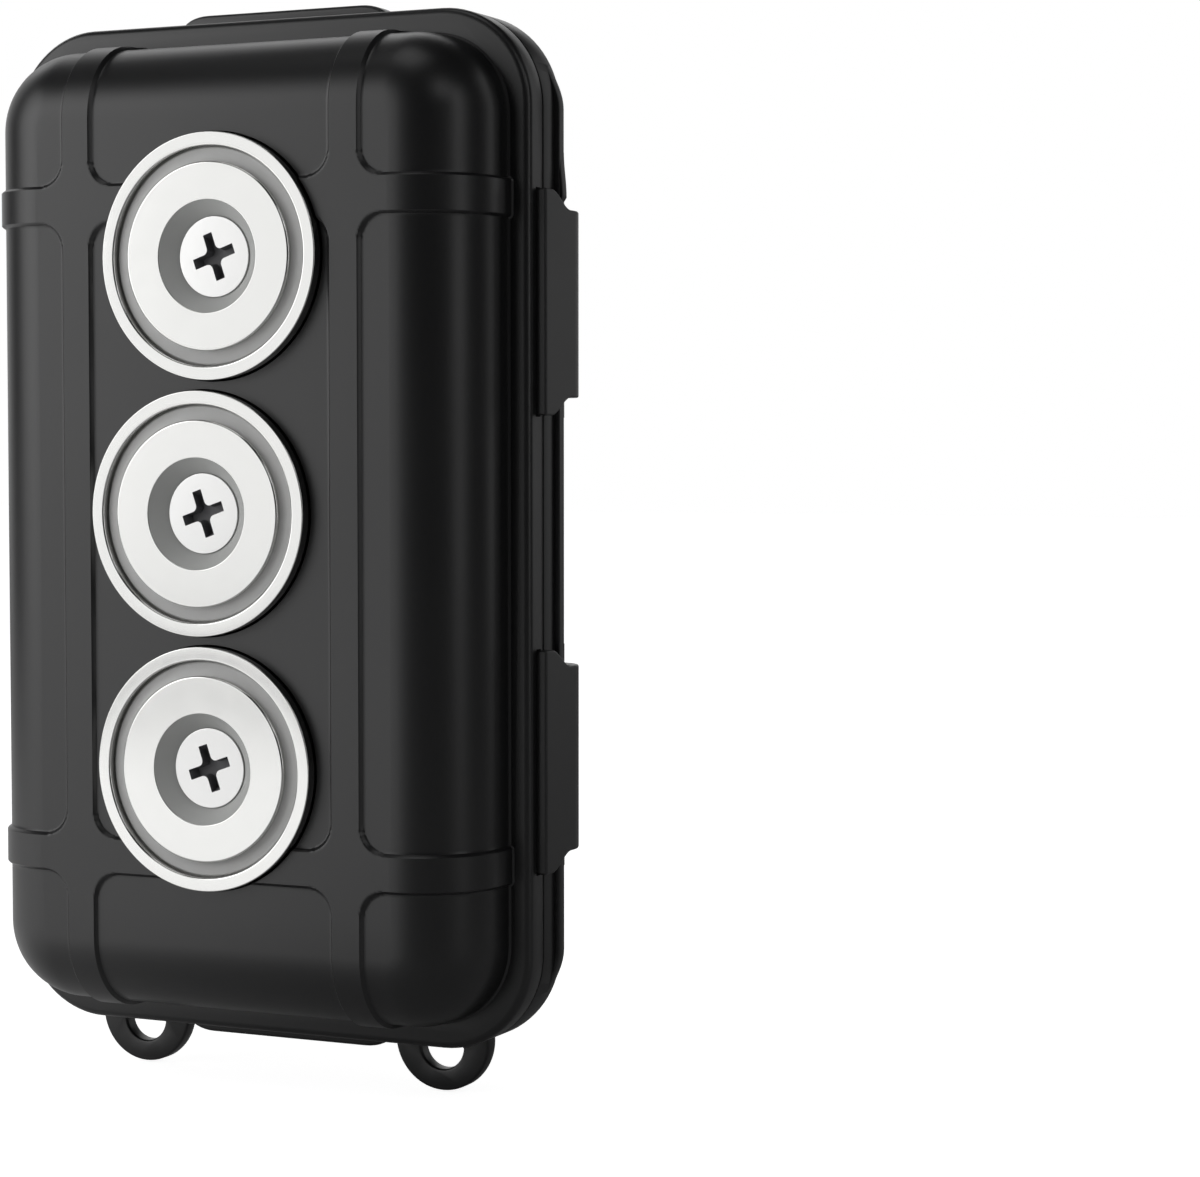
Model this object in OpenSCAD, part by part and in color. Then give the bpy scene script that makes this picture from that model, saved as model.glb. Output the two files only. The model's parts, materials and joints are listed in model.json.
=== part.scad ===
// Magnetic key holder box: a drawn-in tub that sticks to steel by three countersunk pot magnets,
// and a hinged lid that two latches hold shut on a gasket.
// Millimetres. Z is up, X runs from the hinge side to the latch side, and Y runs from the magnets
// into the box. The origin is in the plane of the magnet faces, at the middle of the row.

/* [Rim] */
// Length of the rim, up the box
rim_len = 136.9; // [125:0.1:160]
// Width of the rim, from the hinge side to the latch side
rim_wid = 80; // [75:0.1:95]
// Corner radius of the rim, seen from the back
rim_corner = 13; // [12:0.1:16]
// Radius along the rim's outer edges
rim_edge = 1; // [0.4:0.1:1.4]
// Thickness of the tub's flange
flange_t = 3.9; // [3.7:0.1:5]
// Thickness of the lid's rim
lid_rim_t = 5.9; // [5.2:0.1:7]
// Gap that the gasket keeps between the tub's flange and the lid
part_gap = 0.25; // [0.1:0.05:0.4]

/* [Tub and lid] */
// Depth of the tub, from its flat back to the front of the flange
tub_depth = 13.5; // [12:0.1:26]
// Depth of the lid, from its joint face to its flat front
lid_depth = 20; // [16:0.1:30]
// How far the rim stands out from the tub's walls on the long sides
rim_out_side = 3.1; // [2.9:0.1:4]
// How far the rim stands out from the tub's walls at the ends
rim_out_end = 3.6; // [3:0.1:4.4]
// How much further in the lid's walls stand than the tub's
lid_in = 2.2; // [2:0.1:3]
// Radius of the rounding round the tub's back
tub_round = 10; // [6:0.1:10.5]
// Radius of the rounding round the lid's front
lid_round = 7.5; // [5:0.1:9]
// Corner radius of the flat back and of the flat front
flat_corner = 0.7; // [0.5:0.1:2]
// How far each wall of the tub leans out, from the rounding to the rim
tub_lean = 0.2; // [0:0.1:0.5]
// How far each wall of the lid leans out, from the rounding to the rim
lid_lean = 0.9; // [0.5:0.1:1.5]
// Thickness of the moulded walls
wall = 2.2; // [1.6:0.1:2.6]

/* [Straps] */
// Height of the raised straps
strap_h = 0.55; // [0.3:0.05:0.9]
// Width of the straps that run up the box
strap_up_w = 4.5; // [3:0.1:6]
// Gap between the straps that run up the box
strap_up_gap = 36.2; // [34:0.1:40]
// Width of the straps that run across the box
strap_across_w = 4.9; // [3:0.1:6]
// Gap between the straps that run across the box
strap_across_gap = 81.9; // [76:0.1:88]
// Radius in the corners where the straps cross
strap_fillet = 3.5; // [1:0.1:5]

/* [Magnets] */
// Diameter of the steel cup of a magnet
cup_d = 32; // [28:0.1:33]
// Thickness of a magnet, cup included
cup_t = 6; // [5:0.1:8]
// Thickness of the cup's round wall
cup_wall = 1.8; // [1.2:0.1:2.4]
// Thickness of the cup's floor
cup_floor = 2.6; // [2:0.1:3.4]
// How far the magnets stand out of the tub's back
magnet_out = 1.8; // [0.8:0.1:3]
// Gap between one magnet and the next
magnet_space = 1.5; // [1.1:0.1:4]
// How far the row of magnets sits above the middle of the box
row_up = 2.5; // [0:0.1:4]
// Sideways place of the magnets, from the top one down
row_shift = [0.8, -1.1, -0.4]; // [-1.5:0.1:1.5]
// Width of the resin between the ring magnet and the cup's wall
resin_w = 2.2; // [1.2:0.1:3]
// How far the resin between ring and cup lies below the magnet face
resin_down = 0.8; // [0.2:0.1:1.5]
// Clearance round a cup in its pocket
pocket_clear = 0.2; // [0.1:0.05:0.3]

/* [Screws] */
// Diameter of the screws
screw_d = 5; // [4:0.1:5]
// Length of the screws, head included
screw_len = 12; // [11.5:0.5:14]
// Diameter of the countersunk screw heads
head_d = 10.4; // [9:0.1:11]
// Diameter of the countersink at the magnet face
sink_d = 14.4; // [13:0.1:16]
// Width of each slot of the cross recess
cross_w = 1.2; // [0.8:0.1:1.6]
// Span of the cross recess, tip to tip
cross_span = 6.4; // [4:0.1:7]
// Turn of the cross recess
cross_turn = 19; // [0:1:90]
// Diameter of the rubber sealing washers
seal_d = 12; // [10:0.1:13]
// Thickness of the rubber sealing washers
seal_t = 1; // [0.6:0.1:1.5]
// Diameter of the steel washers
washer_d = 10; // [9:0.1:12]
// Thickness of the steel washers
washer_t = 1; // [0.6:0.1:1.2]
// Size of the nuts across their flats
nut_af = 8; // [7:0.1:9]
// Thickness of the nuts
nut_t = 2.7; // [2.4:0.1:3.2]

/* [Gasket] */
// Width of the gasket
gasket_w = 2; // [1.6:0.1:2.4]
// Depth of the gasket's groove in the lid
groove_depth = 1.8; // [1.2:0.1:2.2]
// Distance from the rim's edge to the groove
groove_in = 1.6; // [1.2:0.1:1.8]

/* [Latches] */
// Height of the latches' middles above and below the middle of the box
latch_up = 30; // [24:0.1:32]
// Length of a latch at its hook
latch_len = 29.4; // [27:0.1:34]
// Length of a latch at its pivot
latch_neck = 24.6; // [20:0.1:26]
// How far the hook bites behind the edge of the flange
hook_bite = 0.7; // [0.4:0.1:0.9]
// Diameter of the pins of the latches and the hinges
pin_d = 1.6; // [1.2:0.1:1.8]

/* [Hinges] */
// Height of the hinges' middles above and below the middle of the box
hinge_up = 30.4; // [24:0.1:32]
// Length of a hinge
hinge_len = 24; // [18:0.1:30]
// Length of the lid's knuckle in the middle of a hinge
hinge_mid = 11; // [8:0.1:14]
// Radius of the knuckles
knuckle_r = 1.7; // [1.5:0.05:2.3]

/* [Lanyard loops] */
// Distance of each loop from the middle line of the box
loop_x = 23.6; // [22:0.1:25]
// Outer radius of a loop
loop_r = 7.1; // [6:0.1:7.5]
// Radius of the half-round hole in a loop
loop_hole_r = 3.2; // [2:0.1:3.8]

/* [Pads] */
// Length of the pads on the ends of the lid
pad_len = 26; // [20:0.1:28]
// Height of the pads
pad_h = 1.9; // [1:0.1:2.4]
// Diameter of the hollow in the end of the upper pad
pad_hollow_d = 0.8; // [0.5:0.1:0.9]

/* [Hidden] */
$fn = 96;

plastic = "#2b2b2d";
steel = "#c9cacc";
magnet_plate = "#e6e7e9";
resin = "#8f9092";
rubber = "#1c1c1c";
silicone = "#7d7f82";

// How far a cutting solid reaches past what it cuts
past = 1;
// Clearance of a pin that turns, and of one that is pressed in, at each side
run_clear = 0.05;
set_clear = 0.01;
// Clearance between moving pieces that pass each other
pass_clear = 0.3;
// Clearance round the screws
screw_clear = 0.25;
// Gap that keeps the gasket's face just off the flange
gasket_clear = 0.02;

// Depths into the box, from the magnet faces
flange_z = magnet_out + tub_depth;
part_z = flange_z + flange_t;
lid_z = part_z + part_gap;
lid_front_z = lid_z + lid_depth;

// The lid's rim: a plain stretch, then a band that stands out along the long sides
band_w = 2.7;
rim_back_z = lid_z + lid_rim_t;
band_z = rim_back_z - band_w;
band_out = 0.7;
band_ramp = 6;
band_in = 3;

// Walls of the tub and the lid at the rim
tub_len = rim_len - 2 * rim_out_end;
tub_wid = rim_wid - 2 * rim_out_side;
tub_corner = flat_corner + tub_round + tub_lean;
lid_len = tub_len - 2 * lid_in;
lid_wid = tub_wid - 2 * lid_in;
lid_corner = flat_corner + lid_round + lid_lean;

// Magnets and their seats
magnet_pitch = cup_d + magnet_space;
ring_d = cup_d - 2 * cup_wall - 2 * resin_w;
pocket_r = cup_d / 2 + pocket_clear;
pocket_floor_z = cup_t + wall;
head_z = (sink_d - head_d) / 2;
screw_hole_r = screw_d / 2 + screw_clear;
seal_z = pocket_floor_z;
washer_z = seal_z + seal_t;
nut_z = washer_z + washer_t;
row = [magnet_pitch, 0, -magnet_pitch];
cup_edge = 0.4;
screw_edge = 0.6;
cross_depth = 1.5;

// Hinge axis, beside the rim at the joint between tub and lid
hinge_out = 0.3;
hinge_x = -rim_wid / 2 - knuckle_r - hinge_out;
hinge_z = part_z + part_gap / 2;
pin_r = pin_d / 2;
knuckle_gap = 0.3;

// Latch: the hook end, the pivot behind the lid's rim, and the curved back between them
hook_in = 2;
hook_t = 0.8;
hook_clear = 0.35;
hook_out = 1.25;
hook_z = flange_z + hook_in;
ledge_z = hook_z + hook_t + hook_clear;
pivot_r = 1.9;
pivot_x = lid_wid / 2 + pivot_r + pass_clear;
pivot_z = rim_back_z + 2 * pass_clear + pivot_r;
back_r = 4.5;
back_out = 0.5;
back_x = pivot_x + back_out;
back_z = pivot_z + pivot_r - back_r;
hook_face_x = rim_wid / 2 + hook_out;
latch_straight = 1.7;
latch_draw = 5.5;
latch_in_z = hook_z + latch_straight;
latch_neck_z = latch_in_z + latch_draw;
ear_gap = 0.2;
ear_t = 2.4;
ear_reach = latch_neck / 2 + ear_gap + ear_t;
guard_out = 0.5;
guard_len = 4;

// Pads: their start behind the joint, their run-out at each end, and the hollow's place in the end
pad_in = 1.5;
pad_z = lid_z + pad_in;
pad_run = 3;
pad_hollow_in = 2;
pad_hollow_down = 0.3;

// Lanyard loops: their start behind the joint, and how far their holes lie below the rim
loop_in = 2.2;
loop_z = lid_z + loop_in;
loop_hole_down = 1;

// ---- Ways of building ----

// Stands up a drawing that lies on its back: y goes up, and z goes into the box
module stand() rotate([90, 0, 0]) mirror([0, 0, 1]) children();

// The same for the two shells and what they carry, with y counted from the middle of the box
module stand_box() stand() translate([0, -row_up, 0]) children();

// Copies its children to both sides of the middle, up the box
module up_and_down(y) for (s = [1, -1]) translate([0, s * y, 0]) children();

// Rectangle with round corners
module rounded(len, wid, r) {
    square([wid - 2 * r, len], center = true);
    square([wid, len - 2 * r], center = true);
    for (sx = [1, -1], sy = [1, -1])
        translate([sx * (wid / 2 - r), sy * (len / 2 - r)]) circle(r);
}

// Half of the section through a tray: flat back at 0, a quarter round of radius r, and a wall
// that then leans out by lean and reaches half the width at depth h
module tray_half(half, h, r, lean) {
    flat = half - lean - r;
    polygon([[0, 0], [flat, 0], [flat, r], [flat + r, r], [half, h], [0, h]]);
    intersection() {
        translate([flat, r]) circle(r);
        translate([flat, 0]) square(r);
    }
}

module tray_section(half, h, r, lean) {
    tray_half(half, h, r, lean);
    mirror([1, 0]) tray_half(half, h, r, lean);
}

// Solid tray with round corners: len by wid at its open end, where its corner radius is corner
module tray(len, wid, corner, h, r, lean) {
    straight_y = len - 2 * corner;
    straight_x = wid - 2 * corner;
    for (sx = [0, 1], sy = [0, 1])
        mirror([sx, 0, 0]) mirror([0, sy, 0])
            translate([straight_x / 2, straight_y / 2, 0])
                rotate_extrude(angle = 90) tray_half(corner, h, r, lean);
    translate([0, straight_y / 2, 0])
        rotate([90, 0, 0]) linear_extrude(straight_y) tray_section(wid / 2, h, r, lean);
    translate([-straight_x / 2, 0, 0])
        rotate([90, 0, 90]) linear_extrude(straight_x) tray_section(len / 2, h, r, lean);
}

// The net of four straps, seen from the back: all but nine panels with round corners
module strap_net() {
    difference() {
        square([2 * rim_wid, 2 * rim_len], center = true);
        for (i = [-1:1], j = [-1:1])
            translate([
                i * (strap_up_gap / 2 + strap_up_w + rim_wid / 2),
                j * (strap_across_gap / 2 + strap_across_w + rim_len / 2)
            ])
                rounded(
                    j == 0 ? strap_across_gap : rim_len,
                    i == 0 ? strap_up_gap : rim_wid,
                    strap_fillet
                );
    }
}

// Tray with the net of straps raised on it
module strapped_tray(len, wid, corner, h, r, lean) {
    tray(len, wid, corner, h, r, lean);
    intersection() {
        translate([0, 0, -strap_h])
            tray(
                len + 2 * strap_h, wid + 2 * strap_h, corner + strap_h,
                h + strap_h, r + strap_h, lean
            );
        translate([0, 0, -2 * strap_h]) linear_extrude(h + 2 * strap_h) strap_net();
    }
}

// The hollow of such a tray, and on past its open end
module tray_hollow(len, wid, corner, h, r, lean) {
    translate([0, 0, wall])
        tray(len - 2 * wall, wid - 2 * wall, corner - wall, h - wall, r - wall, lean);
    translate([0, 0, h - past / 10])
        linear_extrude(flange_t + past) rounded(len - 2 * wall, wid - 2 * wall, corner - wall);
}

// Turns a drawing over, so that what lay at 0 lies at depth z and faces the other way
module turn_over(z) translate([0, 0, z]) mirror([0, 0, 1]) children();

// Places its children at each magnet
module at_magnets() for (i = [0:2]) translate([row_shift[i], row[i] + row_up, 0]) children();

// Hole or pin along y, from y0 to y1, at x and z
module rod(x, z, r, y0, y1)
    translate([x, y1, z]) rotate([90, 0, 0]) cylinder(h = y1 - y0, r = r);

// ---- Tub ----

// A hinge's outer two knuckles, with the webs that join them to the flange
module base_knuckles() {
    end_len = (hinge_len - hinge_mid) / 2 - knuckle_gap;
    for (s = [0, 1]) {
        y0 = s == 0 ? -hinge_len / 2 : hinge_len / 2 - end_len;
        rod(hinge_x, hinge_z, knuckle_r, y0, y0 + end_len);
        translate([hinge_x, y0, hinge_z - knuckle_r])
            cube([-rim_wid / 2 - hinge_x + past, end_len, part_z - hinge_z + knuckle_r]);
    }
}

module base_shell() color(plastic) stand_box() difference() {
    union() {
        difference() {
            union() {
                translate([0, 0, magnet_out])
                    strapped_tray(tub_len, tub_wid, tub_corner, tub_depth, tub_round, tub_lean);
                translate([0, 0, flange_z])
                    tray(rim_len, rim_wid, rim_corner, flange_t, rim_edge, 0);
            }
            translate([0, 0, magnet_out])
                tray_hollow(tub_len, tub_wid, tub_corner, tub_depth, tub_round, tub_lean);
        }
        at_magnets()
            translate([0, 0, magnet_out + wall / 2])
                cylinder(h = pocket_floor_z - magnet_out - wall / 2, r = pocket_r + wall);
        up_and_down(hinge_up) base_knuckles();
    }
    at_magnets() {
        translate([0, 0, -past]) cylinder(h = cup_t + past, r = pocket_r);
        cylinder(h = pocket_floor_z + past, r = screw_hole_r);
    }
    up_and_down(hinge_up)
        rod(hinge_x, hinge_z, pin_r + set_clear, -hinge_len / 2 - past, hinge_len / 2 + past);
    // Steps in the flange that the latches hook behind
    up_and_down(latch_up)
        translate([
            rim_wid / 2 - hook_bite - pass_clear, -latch_len / 2 - pass_clear, flange_z - past
        ])
            cube([2 * past + hook_bite, latch_len + 2 * pass_clear, ledge_z - flange_z + past]);
}

// ---- Lid ----

// How far the rim's round corner has fallen back at a distance past the straight side
function corner_drop(y) = rim_corner - sqrt(rim_corner * rim_corner - y * y);

// Band that stands out along one long side of the rim and runs out round the corners
module band_side() {
    straight = rim_len / 2 - rim_corner;
    end = [
        for (t = [0:0.125:1])
            [band_out * (1 + cos(180 * t)) / 2 - corner_drop(t * band_ramp), straight + t * band_ramp]
    ];
    up = concat(end, [[-band_in, straight + band_ramp]]);
    down = [for (i = [len(up) - 1:-1:0]) [up[i][0], -up[i][1]]];
    translate([rim_wid / 2, 0]) polygon(concat(up, down));
}

// Ears that carry a latch's pin: round ends on the lid's wall, behind the rim
module latch_ears() {
    for (s = [1, -1]) {
        y0 = s > 0 ? latch_neck / 2 + ear_gap : -latch_neck / 2 - ear_gap - ear_t;
        rod(pivot_x, pivot_z, pivot_r, y0, y0 + ear_t);
        translate([lid_wid / 2 - wall, y0, rim_back_z - past])
            cube([pivot_x - lid_wid / 2 + wall, ear_t, pivot_z + pivot_r - rim_back_z + past]);
    }
}

// Low ramp on the band that keeps a latch's outer end from being caught
module latch_guard() {
    y0 = latch_len / 2 + pass_clear;
    translate([rim_wid / 2 + band_out, 0, band_z])
        linear_extrude(rim_back_z - band_z)
            polygon([[-past, y0], [guard_out, y0], [0, y0 + guard_len], [-past, y0 + guard_len]]);
}

// Pad on one end of the rim, with rounded ends that run out
module pad_outline() {
    right = [for (a = [0:15:90]) [pad_len / 2 + pad_run * (1 - sin(a)), pad_h * sin(a)]];
    left = [for (i = [len(right) - 1:-1:0]) [-right[i][0], right[i][1]]];
    polygon(concat(
        [[pad_len / 2 + pad_run, -past]], right, left, [[-pad_len / 2 - pad_run, -past]]
    ));
}

// Half-round ear at the foot of the lid's rim, with a half-round hole for a lanyard
module loop() difference() {
    circle(loop_r);
    intersection() {
        translate([0, -loop_hole_down]) circle(loop_hole_r);
        translate([-loop_r, -2 * loop_r - loop_hole_down]) square(2 * loop_r);
    }
}

// The lid's knuckle in the middle of a hinge, with its web to the rim
module lid_knuckle() {
    rod(hinge_x, hinge_z, knuckle_r, -hinge_mid / 2, hinge_mid / 2);
    translate([hinge_x, -hinge_mid / 2, lid_z])
        cube([-rim_wid / 2 - hinge_x + past, hinge_mid, hinge_z + knuckle_r - lid_z]);
}

module lid_shell() color(plastic) stand_box() difference() {
    union() {
        turn_over(lid_front_z)
            strapped_tray(lid_len, lid_wid, lid_corner, lid_depth, lid_round, lid_lean);
        turn_over(rim_back_z)
            tray(rim_len, rim_wid, rim_corner, rim_back_z - lid_z, rim_edge, 0);
        for (s = [0, 1])
            mirror([s, 0, 0])
                translate([0, 0, band_z]) linear_extrude(rim_back_z - rim_edge - band_z) band_side();
        for (s = [0, 1])
            mirror([0, s, 0])
                translate([0, rim_len / 2, pad_z])
                    linear_extrude(rim_back_z - rim_edge - pad_z) pad_outline();
        for (s = [1, -1])
            translate([s * loop_x, -rim_len / 2, loop_z])
                linear_extrude(rim_back_z - loop_z) loop();
        up_and_down(latch_up) latch_ears();
        for (s = [0, 1]) mirror([0, s, 0]) translate([0, latch_up, 0]) latch_guard();
        up_and_down(hinge_up) lid_knuckle();
    }
    turn_over(lid_front_z)
        tray_hollow(lid_len, lid_wid, lid_corner, lid_depth, lid_round, lid_lean);
    translate([0, 0, lid_z - past]) linear_extrude(groove_depth + past) groove_outline();
    up_and_down(hinge_up)
        rod(hinge_x, hinge_z, pin_r + run_clear, -hinge_mid / 2 - past, hinge_mid / 2 + past);
    up_and_down(latch_up)
        rod(pivot_x, pivot_z, pin_r + set_clear, -ear_reach - past, ear_reach + past);
    // Small hollow in the end of the upper pad
    translate([
        pad_len / 2 - pad_hollow_in, rim_len / 2 + pad_h / 2 - pad_hollow_down,
        (pad_z + rim_back_z - rim_edge) / 2
    ])
        rotate([0, 90, 0]) cylinder(h = 2 * pad_run, d = pad_hollow_d);
}

// Ring-shaped outline of the gasket and its groove
module groove_outline() difference() {
    rounded(rim_len - 2 * groove_in, rim_wid - 2 * groove_in, rim_corner - groove_in);
    rounded(
        rim_len - 2 * (groove_in + gasket_w), rim_wid - 2 * (groove_in + gasket_w),
        rim_corner - groove_in - gasket_w
    );
}

module gasket() color(silicone) stand_box()
    translate([0, 0, part_z + gasket_clear])
        linear_extrude(part_gap + groove_depth - gasket_clear) groove_outline();

// ---- Latches ----

// Section of a latch across its length: hook, sloping face, round back and pivot barrel
module latch_section() {
    inner_x = rim_wid / 2 + pass_clear;
    band_x = inner_x + band_out;
    difference() {
        union() {
            polygon([
                [rim_wid / 2 - hook_bite, hook_z], [hook_face_x, hook_z],
                [back_x + back_r, back_z], [rim_wid / 2 - hook_bite, back_z]
            ]);
            intersection() {
                translate([back_x, back_z]) circle(back_r);
                translate([pivot_x, back_z]) square(2 * back_r);
            }
            translate([pivot_x, pivot_z]) circle(pivot_r);
        }
        polygon([
            [0, hook_z + hook_t], [inner_x, hook_z + hook_t],
            [inner_x, band_z - pass_clear - band_out], [band_x, band_z - pass_clear],
            [band_x, rim_back_z + pass_clear], [0, rim_back_z + pass_clear]
        ]);
        translate([pivot_x, pivot_z]) circle(pin_r + run_clear);
    }
}

// Half the length of a latch at depth z: long at the hook and drawn in to the neck
function latch_half(z) =
    let (t = min(1, max(0, (z - latch_in_z) / (latch_neck_z - latch_in_z))))
    latch_neck / 2 + (latch_len - latch_neck) / 2 * (1 + cos(180 * t)) / 2;

// Outline of a latch seen from its side of the box: depth across, height up
module latch_outline() {
    steps = [for (t = [0:0.1:1]) latch_in_z + t * (latch_neck_z - latch_in_z)];
    top = concat(
        [[hook_z - past, latch_len / 2]],
        [for (z = steps) [z, latch_half(z)]],
        [[pivot_z + 2 * pivot_r, latch_neck / 2]]
    );
    under = [for (i = [len(top) - 1:-1:0]) [top[i][0], -top[i][1]]];
    polygon(concat(top, under));
}

module latch() intersection() {
    translate([0, latch_len / 2, 0]) rotate([90, 0, 0]) linear_extrude(latch_len) latch_section();
    translate([pivot_x - 2 * pivot_r, 0, 0])
        rotate([0, 90, 0]) mirror([1, 0, 0])
            linear_extrude(3 * back_r) latch_outline();
}

module place_latch(s) color(plastic) stand_box() translate([0, s * latch_up, 0]) latch();

module latch_pin(s) color(steel) stand_box() translate([0, s * latch_up, 0])
    rod(pivot_x, pivot_z, pin_r, -ear_reach, ear_reach);

module hinge_pin(s) color(steel) stand_box() translate([0, s * hinge_up, 0])
    rod(hinge_x, hinge_z, pin_r, -hinge_len / 2, hinge_len / 2);

// ---- Magnets and their screws ----

// Stands up a turned piece at magnet i; its section has the radius across and the depth up
module turned(i) stand() translate([row_shift[i], row[i], 0]) rotate_extrude() children();

// Cone of the countersink: its radius at depth z
function sink_r(z) = max(screw_hole_r, sink_d / 2 - z);

module magnet_cup(i) color(steel) turned(i) {
    floor_z = cup_t - cup_floor;
    polygon([
        [cup_d / 2 - cup_wall, 0], [cup_d / 2 - cup_edge, 0], [cup_d / 2, cup_edge],
        [cup_d / 2, cup_t],
        [screw_hole_r, cup_t], [screw_hole_r, sink_d / 2 - screw_hole_r],
        [sink_r(floor_z), floor_z], [cup_d / 2 - cup_wall, floor_z]
    ]);
}

module magnet_ring(i) color(magnet_plate) turned(i) {
    t = cup_t - cup_floor;
    polygon([[sink_r(0), 0], [ring_d / 2, 0], [ring_d / 2, t], [sink_r(t), t]]);
}

module resin_ring(i) color(resin) turned(i)
    translate([ring_d / 2, resin_down])
        square([(cup_d - ring_d) / 2 - cup_wall, cup_t - cup_floor - resin_down]);

module screw(i) color(steel) difference() {
    turned(i)
        polygon([
            [0, head_z], [head_d / 2, head_z], [screw_d / 2, head_z + (head_d - screw_d) / 2],
            [screw_d / 2, head_z + screw_len - screw_edge],
            [screw_d / 2 - screw_edge, head_z + screw_len],
            [0, head_z + screw_len]
        ]);
    stand() translate([row_shift[i], row[i], head_z - past])
        for (turn = [0, 90])
            rotate(cross_turn + turn)
                translate([-cross_span / 2, -cross_w / 2, 0])
                    cube([cross_span, cross_w, past + cross_depth]);
}

module washer(i, d, t, z) stand() translate([row_shift[i], row[i], z])
    difference() {
        cylinder(h = t, d = d);
        translate([0, 0, -past]) cylinder(h = t + 2 * past, r = screw_hole_r);
    }

module nut(i) color(steel) stand() translate([row_shift[i], row[i], nut_z])
    difference() {
        cylinder(h = nut_t, d = nut_af / cos(30), $fn = 6);
        translate([0, 0, -past]) cylinder(h = nut_t + 2 * past, r = screw_d / 2 + run_clear);
    }

base_shell();
lid_shell();
gasket();
hinge_pin(1);  // hinge_pin_upper
hinge_pin(-1);  // hinge_pin_lower
place_latch(1);  // latch_upper
place_latch(-1);  // latch_lower
latch_pin(1);  // latch_pin_upper
latch_pin(-1);  // latch_pin_lower
magnet_cup(0);  // magnet_cup_top
magnet_cup(1);  // magnet_cup_middle
magnet_cup(2);  // magnet_cup_bottom
magnet_ring(0);  // magnet_ring_top
magnet_ring(1);  // magnet_ring_middle
magnet_ring(2);  // magnet_ring_bottom
resin_ring(0);  // resin_ring_top
resin_ring(1);  // resin_ring_middle
resin_ring(2);  // resin_ring_bottom
screw(0);  // screw_top
screw(1);  // screw_middle
screw(2);  // screw_bottom
color(rubber) washer(0, seal_d, seal_t, seal_z);  // seal_washer_top
color(rubber) washer(1, seal_d, seal_t, seal_z);  // seal_washer_middle
color(rubber) washer(2, seal_d, seal_t, seal_z);  // seal_washer_bottom
color(steel) washer(0, washer_d, washer_t, washer_z);  // steel_washer_top
color(steel) washer(1, washer_d, washer_t, washer_z);  // steel_washer_middle
color(steel) washer(2, washer_d, washer_t, washer_z);  // steel_washer_bottom
nut(0);  // nut_top
nut(1);  // nut_middle
nut(2);  // nut_bottom
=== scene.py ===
# %% [markdown]
# # Magnetic key holder box
# A small sealed box of black moulded plastic that clings to a steel surface by three bright
# magnets. This lesson dresses its engineering model for a studio picture. The visible pieces are
# modelled again with the soft edges that moulds and presses give, each in the place of its plain
# solid, and every piece gets the finish of its real material.

# %% Load the fixed frame
import json
import math

import bpy
from mathutils import Euler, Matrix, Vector


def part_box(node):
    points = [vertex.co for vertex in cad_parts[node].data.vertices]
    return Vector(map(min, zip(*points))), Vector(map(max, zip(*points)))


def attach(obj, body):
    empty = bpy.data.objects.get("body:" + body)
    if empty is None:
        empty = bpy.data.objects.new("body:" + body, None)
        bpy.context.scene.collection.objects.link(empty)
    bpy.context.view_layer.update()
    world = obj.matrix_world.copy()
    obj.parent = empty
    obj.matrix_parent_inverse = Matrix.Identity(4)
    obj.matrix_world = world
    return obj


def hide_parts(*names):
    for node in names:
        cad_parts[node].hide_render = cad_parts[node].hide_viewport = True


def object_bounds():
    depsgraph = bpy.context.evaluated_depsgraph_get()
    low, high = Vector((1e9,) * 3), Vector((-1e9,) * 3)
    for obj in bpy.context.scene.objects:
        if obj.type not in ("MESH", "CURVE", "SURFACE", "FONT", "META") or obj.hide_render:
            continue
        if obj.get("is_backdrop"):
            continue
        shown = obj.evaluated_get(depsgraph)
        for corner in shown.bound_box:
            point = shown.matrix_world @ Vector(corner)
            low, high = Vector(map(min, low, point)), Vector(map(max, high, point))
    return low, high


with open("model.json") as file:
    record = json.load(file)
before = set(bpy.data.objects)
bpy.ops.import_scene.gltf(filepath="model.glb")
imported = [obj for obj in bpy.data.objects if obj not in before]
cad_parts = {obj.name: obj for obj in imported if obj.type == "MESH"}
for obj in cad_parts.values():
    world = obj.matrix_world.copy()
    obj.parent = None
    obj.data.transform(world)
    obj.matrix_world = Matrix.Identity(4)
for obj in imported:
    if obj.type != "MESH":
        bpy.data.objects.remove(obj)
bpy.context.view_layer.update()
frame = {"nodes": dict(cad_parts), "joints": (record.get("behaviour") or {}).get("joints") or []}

# %% [markdown]
# ## Camera
# The photograph looks at the back of the box from the latch side, and slightly from above. The
# straight edges of the raised straps give the direction, and the 32 mm magnets give the distance:
# the picture was taken from close by, so the near side of the box looks larger than the far side.

# %% Camera at the photograph's viewing angle
MM = 0.001
PHOTO_WIDTH = 1200
FOCAL_PIXELS = 3000
SENSOR_WIDTH = 36
CAMERA_PLACE = Vector((210.3, -333.9, 9.6)) * MM
CAMERA_YAW = math.radians(24.66)
CAMERA_PITCH = math.radians(-2.83)


def add_camera():
    """A camera that looks along +Y, then turned to the photograph's yaw and pitch."""
    data = bpy.data.cameras.new("photo_camera")
    data.sensor_width = SENSOR_WIDTH
    data.lens = FOCAL_PIXELS * SENSOR_WIDTH / PHOTO_WIDTH
    camera = bpy.data.objects.new("photo_camera", data)
    camera.location = CAMERA_PLACE
    camera.rotation_euler = Euler((math.pi / 2 + CAMERA_PITCH, 0, CAMERA_YAW))
    bpy.context.scene.collection.objects.link(camera)
    bpy.context.scene.camera = camera
    return camera


camera = add_camera()
print("lens", round(camera.data.lens, 1), "mm")

# %% [markdown]
# ## Sizes
# Sizes are in millimetres, as on the maker's drawing. What the frame can tell is read from it:
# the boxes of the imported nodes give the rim, the depths and the magnets, and the joints give the
# places of the pins. The rest are the radii and wall thicknesses that a box can't show.

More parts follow.
